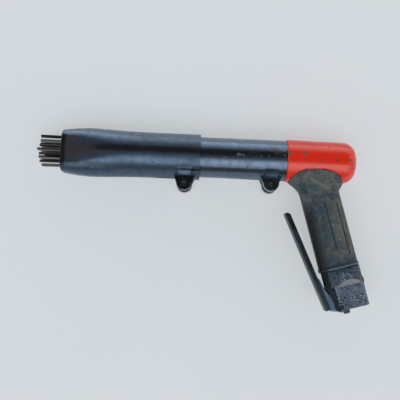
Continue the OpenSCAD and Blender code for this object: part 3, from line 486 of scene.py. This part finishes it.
# moulded rubber: slate in the palm, dust towards the back, a front side darkened by grime and painted shade,
# a painted highlight on the bead, painted shade in the groove above it and a painted shadow at its foot
def makeGripRubber():
    look = {"rubber": rgb(0.012, 0.018, 0.022), "slate": rgb(0.038, 0.074, 0.092),
            "dust": rgb(0.170, 0.163, 0.135), "clay": rgb(0.205, 0.175, 0.130),
            "grime": rgb(0.009, 0.008, 0.007), "bloom": rgb(0.19, 0.21, 0.21),
            "highlightTint": rgb(0.115, 0.175, 0.22)}
    clayAt = [(145, 47, 52, 20, 2.2, 25), (124, 30, 42, 4, 7, 0), (130, 10, 42, 4, 9, 0),
              (166, -14, 46, 2, 4, 15)]
    wipedAt = [(128, 41, 47, 15, 8, 12), (170, 56, 47, 10, 7, 0), (160, 33, 47, 8, 4, 0),
               (143, 14, 47, 7, 16, 15)]
    middle = 0.1509  # of the grip, measured across
    sides = {"back": (-12, 18), "front": (-11.5, -18.5)}
    saddleEnd = (6, -4)
    grimeShadeStart = (8, 28)
    # bands up from the foot: clean of dust, painted shade in the groove over the bead, painted highlight on
    # the bead, painted shadow under the foot
    fromFoot = {"clean": (-5.6, -20), "grooveShade": (-7.6, -5.6), "beadTop": (-3.6, -2.6),
                "beadFoot": (-0.8, -1.6), "end": (-1.2, -0.6)}
    foot = max(v.co.dot(down) for v in nodes["grip_sleeve"].data.vertices)
    material, tree, shader = newMaterial("gripRubber")
    near = {key: zone(tree, down, limits, foot) for key, limits in fromFoot.items()}
    back = zone(tree, across, sides["back"], middle)
    # the front side is darker from grime and from painted shade where it turns away from the light
    front = times(tree, zone(tree, across, sides["front"], middle), zone(tree, down, grimeShadeStart))
    # painted highlight along the bead
    beadHighlight = times(tree, near["beadTop"], near["beadFoot"])
    broad = mask(tree, cloudMask, Scale=85, Low=0.34, High=0.64, Detail=12)
    grit = mask(tree, cloudMask, Scale=420, Low=0.55, High=0.66, Detail=5, Shift=(0.3, 0.8, 0.2))
    blots = mask(tree, cloudMask, Scale=150, Low=0.42, High=0.68, Detail=9, Shift=(0.4, 0.1, 0.9))
    clay = mask(tree, cloudMask, Scale=120, Low=0.55, High=0.68, Detail=12, Shift=(0.8, 0.3, 0.5))
    dark = mask(tree, cloudMask, Scale=140, Low=0.52, High=0.68, Detail=10, Shift=(0.1, 0.7, 0.3))
    bloom = mask(tree, fleckMask, Scale=210, Size=0.3, Share=0.1, Shift=(0.02, 0.05, 0.01))
    grain = mask(tree, cloudMask, Scale=900, Low=0.25, High=0.75, Detail=3, Shift=(0.6, 0.6, 0.1))
    edge = mask(tree, wornEdge, Radius=0.0018, Reach=0.4, Breakup=160)
    patches = most(tree, clay, spots(tree, clayAt, ragged=2.2, grain=260))
    settled = most(tree, back, times(tree, zone(tree, down, saddleEnd), 0.75))
    settled = times(tree, mathNode(tree, 'MULTIPLY_ADD', settled, 0.8, 0.10),
                    mathNode(tree, 'MULTIPLY_ADD', broad, 0.72, 0.28))
    wiped = times(tree, spots(tree, wipedAt, ragged=2.6, grain=150, deep=26), 0.92)
    dusty = times(tree, most(tree, settled, times(tree, grit, 0.6)), near["clean"],
                  mathNode(tree, 'SUBTRACT', 1.0, wiped))
    colour = coats(tree, look, look["slate"], [
        ("rubber", blots, 0.55), ("dust", dusty, 1), ("clay", patches, 0.6), ("rubber", dark, 0.45),
        ("rubber", near["grooveShade"], 0.7), ("highlightTint", beadHighlight, 0.9), ("bloom", bloom, 0.7), ("bloom", edge, 0.35),
        # this grime layer is grime with painted shade on the front, and a painted shadow at the foot
        ("grime", most(tree, times(tree, front, 0.85), near["end"]), 1), ("grime", grain, 0.2)])
    dress(tree, shader, colour, mixValue(tree, beadHighlight, mixValue(tree, dusty, 0.5, 0.85), 0.25))
    shader.inputs['Specular IOR Level'].default_value = 0.36
    height = mathNode(tree, 'ADD', times(tree, grain, 0.5), times(tree, blots, 0.5))
    bump(tree, shader, height, strength=0.4, distance=0.0003)
    return material


# dark hammered paint on the cast block: bluish flats with short dark marks, the rest dirty; painted shade
# down the front side and beside the flat, painted glints beside the marks, a painted highlight on the arris
def makeSpeckledCasting():
    look = {"paint": rgb(0.092, 0.130, 0.185), "ridgeAndGlint": rgb(0.30, 0.36, 0.44),
            "black": rgb(0.004, 0.007, 0.013), "teal": rgb(0.018, 0.035, 0.043),
            "grime": rgb(0.007, 0.010, 0.011)}
    crownAt = [(178, -65, 49, 8.5, 7, 0), (178, -65, 8.5, 8.5, 7, 0)]  # cleaner over the step, on both sides
    aboveStep = (121, 118)
    sides = {"front": (135.2, 133.7), "beside": (138.6, 137.6), "arrisHighlight": (140, 139.2)}
    hammer = {"Scale": 360, "Size": 0.45, "Share": 0.95, "Stretch": (0.65, 1.1, 0.5)}
    material, tree, shader = newMaterial("speckledCasting")
    broad = mask(tree, cloudMask, Scale=48, Low=0.48, High=0.64, Detail=6, Shift=(0.31, 0.12, 0.4))
    mottle = mask(tree, cloudMask, Scale=230, Low=0.5, High=0.62, Detail=4, Stretch=(1, 0.6, 1))
    ridges = mask(tree, cloudMask, Scale=300, Low=0.56, High=0.68, Detail=3, Stretch=(0.7, 1, 1),
                  Shift=(0.3, 0.1, 0.2))
    dashes = mask(tree, fleckMask, Shift=(0.05, 0.02, 0.04), **hammer)
    glints = mask(tree, fleckMask, Shift=(0.0507, 0.0211, 0.04), **hammer)  # a lit edge beside each dash
    pores = mask(tree, fleckMask, Scale=360, Size=0.34, Share=0.5, Stretch=(1.1, 0.55, 1),
                 Shift=(0.01, 0.07, 0.02))
    edge = mask(tree, wornEdge, Radius=0.0013, Reach=0.4)
    above = zone(tree, down, aboveStep)
    side = {key: zone(tree, across, limits) for key, limits in sides.items()}
    # painted shade down the front side and beside the flat
    shadeStrip = most(tree, side["front"], minus(tree, side["beside"], above))
    # painted highlight along the arris of the flat
    arrisHighlight = minus(tree, side["arrisHighlight"], most(tree, side["beside"], above))
    # lighter ridges and worn edges, with painted glints beside the dashes and the painted arris highlight
    light = most(tree, times(tree, ridges, 0.5), times(tree, edge, 0.65), times(tree, glints, 0.7),
                 times(tree, arrisHighlight, 0.45))
    grimy = minus(tree, above, spots(tree, crownAt, ragged=1.6, grain=300, deep=12))
    dirty = most(tree, times(tree, grimy, 0.7), times(tree, broad, 0.4))
    sunk = most(tree, dashes, times(tree, pores, 0.7))
    colour = coats(tree, look, look["paint"], [
        ("teal", mottle, 0.4), ("ridgeAndGlint", light, 1), ("teal", dirty, 1), ("grime", shadeStrip, 0.88),
        ("black", sunk, 0.94)])
    rough = mixValue(tree, shadeStrip, mixValue(tree, mottle, 0.42, 0.6), 0.9)
    dress(tree, shader, colour, rough, times(tree, light, 0.3))
    height = mathNode(tree, 'SUBTRACT', relief(tree, (ridges, 0.5), (sunk, 0.9)), times(tree, mottle, 0.3))
    bump(tree, shader, height, strength=0.6, distance=0.0004)
    return material


# bare milled step above the flats of the block
def makeMilledFace():
    look = {"metal": rgb(0.28, 0.29, 0.29), "smear": rgb(0.19, 0.175, 0.155), "bright": rgb(0.42, 0.42, 0.41)}
    material, tree, shader = newMaterial("milledFace")
    lines = mask(tree, cloudMask, Scale=700, Low=0.35, High=0.7, Detail=2, Stretch=(0.1, 1, 1))
    smear = mask(tree, cloudMask, Scale=110, Low=0.45, High=0.65, Shift=(0.2, 0.2, 0.7))
    edge = mask(tree, wornEdge, Radius=0.0009, Reach=0.35)
    colour = coats(tree, look, look["metal"], [
        ("smear", smear, 0.6), ("smear", lines, 0.25), ("bright", edge, 0.6)])
    dress(tree, shader, colour, mixValue(tree, lines, 0.5, 0.65), mixValue(tree, smear, 0.3, 0.1))
    bump(tree, shader, lines, strength=0.2, distance=0.0001)
    return material


# dark coating on the pressed lever, with a lightened tail plate as painted light
def makeLeverCoat():
    look = {"coat": rgb(0.007, 0.017, 0.025), "pale": rgb(0.022, 0.043, 0.060), "bare": rgb(0.20, 0.22, 0.25),
            "dirt": rgb(0.030, 0.028, 0.025), "tail": rgb(0.24, 0.34, 0.48)}
    narrowTail = {"top": (35.5, 34.5), "foot": (21.8, 22.8), "start": (104, 104.6),
                  "across": Vector((0.90996, 0.41470, 0))}  # square to the lever
    material, tree, shader = newMaterial("leverCoat")
    cloud = mask(tree, cloudMask, Scale=55, Low=0.42, High=0.68)
    grain = mask(tree, cloudMask, Scale=700, Low=0.3, High=0.7, Detail=2)
    dirt = mask(tree, cloudMask, Scale=90, Low=0.55, High=0.7, Shift=(0.2, 0.8, 0.4))
    lines = mask(tree, scratchMask, Scale=110, Width=0.012, Share=0.52, Stretch=(0.7, 0.35, 1))
    edge = mask(tree, wornEdge, Radius=0.0011, Reach=0.3)
    tail = times(tree, zone(tree, zAxis, narrowTail["top"]), zone(tree, zAxis, narrowTail["foot"]),
                 zone(tree, narrowTail["across"], narrowTail["start"]))  # paint left on the tail, lightened as painted light where the lever wall and the block shade it
    worn = most(tree, times(tree, lines, 0.3), times(tree, edge, 0.5))
    colour = coats(tree, look, look["coat"], [
        ("pale", cloud, 0.5), ("tail", tail, 0.9), ("dirt", dirt, 0.5), ("bare", worn, 1)])
    dress(tree, shader, colour, mixValue(tree, cloud, 0.36, 0.52), mixValue(tree, worn, 0.25, 0.9))
    shader.inputs['Specular IOR Level'].default_value = 0.38
    bump(tree, shader, grain, strength=0.2, distance=0.0001)
    return material


# bare metals, told apart by tint, direction of the grain and share of stains
def makeSteel(name, metal):
    look = {key: rgb(*metal[key]) for key in ("tint", "dark", "stain")}
    look["bright"] = rgb(*[min(1, 1.6 * c) for c in metal["tint"]])
    material, tree, shader = newMaterial(name)
    grain = mask(tree, cloudMask, Scale=metal["grain"], Low=0.25, High=0.75, Detail=4,
                 Stretch=metal["stretch"])
    cloud = mask(tree, cloudMask, Scale=70, Low=0.4, High=0.7, Shift=(0.3, 0.2, 0.6))
    stains = mask(tree, fleckMask, Scale=170, Size=0.34, Share=metal["stained"])
    edge = mask(tree, wornEdge, Radius=0.0005, Reach=0.3)
    colour = coats(tree, look, look["dark"], [
        ("tint", grain, 1), ("dark", cloud, 0.35), ("stain", stains, 0.6), ("bright", edge, 0.35)])
    rough = mixValue(tree, cloud, metal["rough"], metal["rough"] + 0.18)
    dress(tree, shader, colour, rough, mixValue(tree, stains, 0.95, 0.5))
    bump(tree, shader, grain, strength=0.15, distance=0.00005)
    return material


# black cap screws, with grit packed into one socket and rust into the other
def makeBlackScrew():
    look = {"black": rgb(0.018, 0.018, 0.020), "worn": rgb(0.11, 0.115, 0.12),
            "grit": rgb(0.085, 0.095, 0.10), "rust": rgb(0.13, 0.075, 0.045)}
    socket = {"level": 44.6, "half": 2.6}  # millimetres
    sockets = []
    for name in ("front_clamp_screw", "rear_clamp_screw"):
        middle = (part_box(name)[0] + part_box(name)[1]) / 2 * 1000
        sockets.append([(middle.x, middle.y, socket["level"], socket["half"], socket["half"], 0)])
    material, tree, shader = newMaterial("blackScrew")
    cloud = mask(tree, cloudMask, Scale=260, Low=0.4, High=0.7)
    stains = mask(tree, fleckMask, Scale=240, Size=0.34, Share=0.3)
    edge = mask(tree, wornEdge, Radius=0.0005, Reach=0.3)
    grit = spots(tree, sockets[0], ragged=0.3, grain=900)
    rust = spots(tree, sockets[1], ragged=0.5, grain=900)
    packed = most(tree, grit, rust)
    colour = coats(tree, look, look["black"], [
        ("worn", cloud, 0.3), ("rust", stains, 0.35), ("worn", edge, 0.6), ("grit", grit, 1),
        ("rust", rust, 1)])
    rough = mixValue(tree, packed, mixValue(tree, cloud, 0.34, 0.5), 0.85)
    dress(tree, shader, colour, rough, mixValue(tree, packed, 0.8, 0.05))
    bump(tree, shader, cloud, strength=0.3, distance=0.0001)
    return material


# drawn needles, each rod with its own tone
def makeNeedleSteel():
    look = {"dark": rgb(0.020, 0.021, 0.024), "pale": rgb(0.33, 0.315, 0.275), "rust": rgb(0.09, 0.05, 0.03)}
    drawn = (0.02, 1, 1)
    material, tree, shader = newMaterial("needleSteel")
    rod = mask(tree, cloudMask, Scale=190, Low=0.42, High=0.6, Detail=0, Stretch=drawn,
               Shift=(0.1, 0.33, 0.21))
    streak = mask(tree, cloudMask, Scale=900, Low=0.35, High=0.7, Detail=3, Stretch=drawn)
    stains = mask(tree, fleckMask, Scale=150, Size=0.34, Share=0.25)
    edge = mask(tree, wornEdge, Radius=0.0005, Reach=0.3)
    colour = coats(tree, look, look["dark"], [
        ("pale", rod, 0.8), ("dark", streak, 0.45), ("rust", stains, 0.55), ("pale", edge, 0.35)])
    dress(tree, shader, colour, mixValue(tree, rod, 0.36, 0.5), mixValue(tree, stains, 0.8, 0.4))
    bump(tree, shader, streak, strength=0.2, distance=0.00005)
    return material


# plain moulded rubber for the hidden rings
def makeSealRubber():
    look = {"black": rgb(0.012, 0.012, 0.013), "bloom": rgb(0.05, 0.05, 0.05)}
    material, tree, shader = newMaterial("sealRubber")
    bloom = mask(tree, cloudMask, Scale=160, Low=0.4, High=0.7)
    colour = coats(tree, look, look["black"], [("bloom", bloom, 0.5)])
    dress(tree, shader, colour, mixValue(tree, bloom, 0.45, 0.7))
    return material


finishes = {
    "blued_tube": makeBluedSteel(),
    "red_paint": makeRedPaint(),
    "grip_rubber": makeGripRubber(),
    "grey_casting": makeSpeckledCasting(),
    "lever_steel": makeLeverCoat(),
    "black_screw": makeBlackScrew(),
    "needle_steel": makeNeedleSteel(),
    "tool_steel": makeSteel("toolSteel", {
        "tint": (0.5, 0.51, 0.53), "dark": (0.3, 0.31, 0.33), "stain": (0.2, 0.16, 0.12),
        "rough": 0.28, "stretch": (1, 0.05, 0.05), "grain": 600, "stained": 0.12}),
    "spring_steel": makeSteel("springSteel", {
        "tint": (0.34, 0.35, 0.38), "dark": (0.16, 0.16, 0.18), "stain": (0.14, 0.09, 0.06),
        "rough": 0.32, "stretch": (1, 1, 1), "grain": 300, "stained": 0.2}),
    "plated_steel": makeSteel("platedSteel", {
        "tint": (0.13, 0.135, 0.15), "dark": (0.05, 0.052, 0.058), "stain": (0.05, 0.035, 0.025),
        "rough": 0.40, "stretch": (1, 1, 1), "grain": 350, "stained": 0.45}),
    "bronze": makeSteel("bronzeMetal", {
        "tint": (0.34, 0.23, 0.11), "dark": (0.18, 0.125, 0.065), "stain": (0.09, 0.07, 0.045),
        "rough": 0.42, "stretch": (1, 0.1, 0.1), "grain": 500, "stained": 0.2}),
    "seal_rubber": makeSealRubber(),
}
print("finishes made:", len(finishes))

for name, node in nodes.items():  # pieces that keep their solid
    node.data.materials.clear()
    node.data.materials.append(finishes[slotOf[name]])


# tubes, head, block, lever and small hardware keep their outline and get worn edges
edgeSizes = {
    "front_tube": ("frontTube", 0.0006), "rear_tube": ("rearTube", 0.0006),
    "head": ("headCasting", 0.0006), "handle": ("handleCasting", 0.0009),
    "lever": ("leverPressing", 0.0006), "needles": ("needleBundle", 0.0003),
    "throttle_plug": ("throttlePlug", 0.0004), "pin_lock_screw": ("pinLockScrew", 0.0004),
    "lever_pin": ("leverPin", 0.0004), "front_clamp_nut": ("frontClampNut", 0.0004),
    "rear_clamp_nut": ("rearClampNut", 0.0004),
}
edgeAngles = {"flat": 0.4, "bevel": 34, "smooth": 36}  # degrees
for nodeName, (pieceName, width) in edgeSizes.items():
    piece = copyNode(nodeName, pieceName)
    with editing(piece):
        bpy.ops.mesh.dissolve_limited(angle_limit=math.radians(edgeAngles["flat"]))
    bevel(piece, width, segments=2, limit=edgeAngles["bevel"])
    smooth(piece, edgeAngles["smooth"])
    settle(piece, nodeName, finishes[slotOf[nodeName]])
print("worn edges:", len(edgeSizes), "pieces")


def bareRunOuts(casting):
    slope = 0.55  # steps face outwards and down the handle
    casting.data.materials.append(makeMilledFace())
    for face in casting.data.polygons:
        if abs(face.normal.z) > slope and face.normal.dot(down) > slope:
            face.material_index = 1


bareRunOuts(bpy.data.objects["handleCasting"])


# moulded sleeve: the saddle flows into the grip, with two sunk lines on the near side
def makeSleeve():
    sleeve = {"voxel": 0.00095, "flow": 9, "bead": 0.090, "fade": 0.003, "creaseRound": 0.0026,
              "overlap": 0.0006, "lineWide": 0.0018, "lineTall": 0.01}
    crease = [(144.1, 36.2, 50.1), (156.4, 37.4, 48.7), (164, 38.1, 45.8), (170.5, 38.6, 39.9)]
    sunkLines = [((149.5, 26.0), (165.5, -30.1), 45.8), ((164.9, 26.6), (182.6, -35.6), 42.6)]  # ends, floor
    piece = copyNode("grip_sleeve", "gripSleeve")
    runModifier(piece, 'REMESH', mode='VOXEL', voxel_size=sleeve["voxel"])
    for start, end in zip(crease, crease[1:]):  # valley where the saddle meets the grip
        run = (Vector(end) - Vector(start)) / 1000
        middle = (Vector(end) + Vector(start)) / 2000
        roller = cylinder(sleeve["creaseRound"], run.length + sleeve["overlap"], middle, sides=24,
                          turn=run.to_track_quat('Z', 'Y').to_euler())
        cutAway(piece, roller)
    above = piece.vertex_groups.new(name="aboveBead")
    for vertex in piece.data.vertices:
        past = (vertex.co.dot(down) - sleeve["bead"]) / sleeve["fade"]
        above.add([vertex.index], min(1.0, max(0.1, 1.0 - past)), 'REPLACE')
    runModifier(piece, 'SMOOTH', factor=0.5, iterations=sleeve["flow"], vertex_group="aboveBead")
    for start, end, floor in sunkLines:
        run = Vector(end) - Vector(start)
        middle = (Vector(end) + Vector(start)) / 2000
        deselectAll()
        bpy.ops.mesh.primitive_cube_add(
            size=1, location=(middle.x, middle.y, floor / 1000 + sleeve["lineTall"] / 2),
            rotation=(0, 0, math.atan2(run.y, run.x)),
            scale=(run.length / 1000, sleeve["lineWide"], sleeve["lineTall"]))
        cutAway(piece, bpy.context.object)
    smooth(piece, angle=50)
    return piece


gripSleeve = makeSleeve()
settle(gripSleeve, "grip_sleeve", finishes["grip_rubber"])
print("sleeve moulded:", len(gripSleeve.data.polygons), "faces")


# a rolled thread along z, starting at the origin
def makeThread(name, root, crest, pitch, length):
    flank, flat = 0.5 * pitch, 0.06 * pitch
    profile = [(root, flat), (root, 0), (crest, flank), (crest, flank + flat)]
    deselectAll()
    bpy.ops.mesh.primitive_plane_add(size=1)
    thread = bpy.context.object
    thread.name = thread.data.name = name
    with editing(thread):
        bpy.ops.mesh.delete(type='ONLY_FACE')
    corners = sorted(thread.data.vertices, key=lambda corner: (corner.co.y, corner.co.x))
    for corner, (r, z) in zip(corners, profile):
        corner.co = (r, 0, z)
    runModifier(thread, 'SCREW', angle=math.tau, screw_offset=pitch, iterations=round(length / pitch),
                steps=32, render_steps=32, use_merge_vertices=True, merge_threshold=0.000002)
    with editing(thread):
        bpy.ops.mesh.fill_holes(sides=4)
        bpy.ops.mesh.normals_make_consistent(inside=False)
    return thread


# clamp screw: knurled cap with a hex socket and a rolled thread, made once and copied
def makeCapScrew(name, nodeName):
    cap = {"radius": 0.005, "high": 0.006, "round": 0.0005, "socket": 0.00289, "deep": 0.0022,
           "ribs": 36, "ribInset": 0.00012, "ribDepth": 0.00018, "upright": 0.01}
    shaft = {"crest": 0.003, "core": 0.0026, "root": 0.0024, "round": 0.0004, "pitch": 0.001,
             "start": 0.0005, "short": 0.0015}
    low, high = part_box(nodeName)
    middle = (low + high) / 2
    seat = high.z - cap["high"]
    centre = (middle.x, middle.y, seat + cap["high"] / 2)
    screw = cylinder(cap["radius"], cap["high"], centre, sides=2 * cap["ribs"])
    screw.name = screw.data.name = name
    fixPlace(screw)
    bevel(screw, cap["round"], segments=2, limit=60)
    with editing(screw):
        bpy.ops.mesh.select_all(action='DESELECT')
    tall = [f for f in screw.data.polygons if abs(f.normal.z) < cap["upright"]]
    tall.sort(key=lambda f: math.atan2(f.center.y - middle.y, f.center.x - middle.x))
    for face in tall[::2]:
        face.select = True
    bpy.ops.object.mode_set(mode='EDIT')
    bpy.ops.mesh.select_mode(type='FACE')
    bpy.ops.mesh.inset(thickness=cap["ribInset"], depth=-cap["ribDepth"], use_individual=True)  # knurl
    bpy.ops.object.mode_set(mode='OBJECT')
    cutAway(screw, cylinder(cap["socket"], 2 * cap["deep"], (middle.x, middle.y, high.z), sides=6))
    length = seat - low.z
    shank = cylinder(shaft["core"], length, (middle.x, middle.y, (seat + low.z) / 2), sides=32)
    fixPlace(shank)
    bevel(shank, shaft["round"], segments=1, limit=60)
    thread = makeThread("rolledThread", shaft["root"], shaft["crest"], shaft["pitch"],
                        length - shaft["short"])
    thread.location = (middle.x, middle.y, low.z + shaft["start"])
    fixPlace(thread)
    deselectAll()
    for part in (thread, shank, screw):
        part.select_set(True)
    bpy.context.view_layer.objects.active = screw
    bpy.ops.object.join()
    smooth(screw, angle=35)
    return screw


frontScrew = makeCapScrew("frontClampScrew", "front_clamp_screw")
rearScrew = frontScrew.copy()
rearScrew.data = frontScrew.data.copy()
rearScrew.name = rearScrew.data.name = "rearClampScrew"
bpy.context.scene.collection.objects.link(rearScrew)
rearScrew.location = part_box("rear_clamp_screw")[0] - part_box("front_clamp_screw")[0]
fixPlace(rearScrew)
settle(frontScrew, "front_clamp_screw", finishes["black_screw"])
settle(rearScrew, "rear_clamp_screw", finishes["black_screw"])
print("clamp screws made")


# coil springs, copied with smooth shading onto their bodies
def makeSpring(nodeName, pieceName):
    piece = copyNode(nodeName, pieceName)
    smooth(piece, angle=50)
    settle(piece, nodeName, finishes["spring_steel"])
    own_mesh(piece)


makeSpring("return_spring", "returnSpring")
makeSpring("throttle_spring", "throttleSpring")
print("springs fitted")


# thread inside the air inlet
def makeInletThread():
    inlet = {"pitch": 0.001337, "high": 0.00055, "bite": 0.0002, "start": 0.0006, "run": 0.0115}
    wall = airInlet["dims"]["r_mm"] / 1000
    thread = makeThread("inletThread", wall + inlet["bite"], wall - inlet["high"], inlet["pitch"],
                        inlet["run"])
    thread.location = Vector(airInlet["pos_m"]) - down * inlet["start"]
    thread.rotation_euler = (-down).to_track_quat('Z', 'Y').to_euler()
    fixPlace(thread)
    smooth(thread, angle=30)
    thread.data.materials.append(finishes["tool_steel"])
    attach(thread, bodyOf["handle"])


makeInletThread()
print("inlet thread cut")


# stage

def seenRays(tree):
    path = tree.nodes.new('ShaderNodeLightPath').outputs
    return most(tree, path['Is Camera Ray'], path['Is Glossy Ray'], path['Is Transmission Ray'])


def makeFloor():
    look = {"board": rgb(0.84, 0.865, 0.87), "shade": rgb(0.79, 0.82, 0.84),
            "backing": rgb(0.73, 0.765, 0.785)}
    board = {"size": 6, "level": -0.0002, "rough": 0.8, "fill": 0.55}
    bpy.ops.mesh.primitive_plane_add(size=board["size"], location=(0, 0, board["level"]))
    floor = bpy.context.object
    floor.name = "floor"
    material, tree, shader = newMaterial("paleBoard")
    blotch = mask(tree, cloudMask, Scale=5, Low=0.3, High=0.75)
    grain = mask(tree, cloudMask, Scale=260, Low=0.2, High=0.8, Detail=3)
    colour = coats(tree, look, look["board"], [("shade", blotch, 0.5), ("shade", grain, 0.12)])
    dress(tree, shader, colour, board["rough"])
    bump(tree, shader, grain, strength=0.1, distance=0.0005)
    backing = tree.nodes.new('ShaderNodeEmission')  # keeps the board pale under the soft shadow
    backing.inputs['Color'].default_value = look["backing"]
    both = tree.nodes.new('ShaderNodeMixShader')
    feed(tree, both.inputs[0], times(tree, seenRays(tree), board["fill"]))
    tree.links.new(shader.outputs[0], both.inputs[1])
    tree.links.new(backing.outputs[0], both.inputs[2])
    tree.links.new(both.outputs[0], tree.nodes['Material Output'].inputs['Surface'])
    floor.data.materials.append(material)


# a wide soft box in front of the tool, pale walls at both ends and low behind, dim overhead
def makeWorld():
    sky = {"dim": rgb(0.085, 0.09, 0.10), "box": rgb(1.87, 1.94, 2.04), "left": rgb(0.66, 0.69, 0.74),
           "right": rgb(0.78, 0.8, 0.84), "wall": rgb(1.68, 1.78, 1.92), "backdrop": rgb(0.73, 0.765, 0.785)}
    spread = {"boxTop": (-8, -28), "boxFoot": (-84, -33), "wallTop": (40, 82)}  # degrees from straight up
    reach = {"from": 0.5, "to": 0.8}  # how far the pale ends come in
    world = bpy.data.worlds.new("room")
    bpy.context.scene.world = world
    world.use_nodes = True
    tree = world.node_tree
    coords = tree.nodes.new('ShaderNodeTexCoord')
    split = tree.nodes.new('ShaderNodeSeparateXYZ')
    tree.links.new(coords.outputs['Generated'], split.inputs[0])
    lean = mathNode(tree, 'ARCTAN2', split.outputs['Y'], split.outputs['Z'])
    band = {key: ramp(tree, lean, *[math.radians(a) for a in ends]) for key, ends in spread.items()}
    path = tree.nodes.new('ShaderNodeLightPath')
    colour = coats(tree, sky, sky["dim"], [
        ("wall", band["wallTop"], 1), ("box", band["boxTop"], band["boxFoot"]),
        ("right", ramp(tree, split.outputs['X'], reach["from"], reach["to"]), 1),
        ("left", ramp(tree, split.outputs['X'], -reach["from"], -reach["to"]), 1),
        ("backdrop", path.outputs['Is Camera Ray'], 1)])
    tree.links.new(colour, tree.nodes['Background'].inputs['Color'])


def makeCamera():
    shot = {"place": Vector((0.0, -0.0651, 0.8037)), "aim": Vector((-0.0035, 0.0240, 0.0287)),
            "up": Vector((-0.0438, 0.999, 0)), "lens": 55.7, "sensor": 36, "nearest": 0.01}
    camera = bpy.data.cameras.new("camera")
    camera.lens = shot["lens"]
    camera.sensor_width = shot["sensor"]
    camera.clip_start = shot["nearest"]
    holder = bpy.data.objects.new("camera", camera)
    bpy.context.scene.collection.objects.link(holder)
    ahead = (shot["aim"] - shot["place"]).normalized()
    right = ahead.cross(shot["up"]).normalized()
    turn = Matrix((right, right.cross(ahead), -ahead)).transposed()
    holder.matrix_world = Matrix.Translation(shot["place"]) @ turn.to_4x4()
    bpy.context.scene.camera = holder


makeFloor()
makeWorld()
makeCamera()
bpy.context.scene.view_settings.view_transform = 'Standard'
print("stage set")
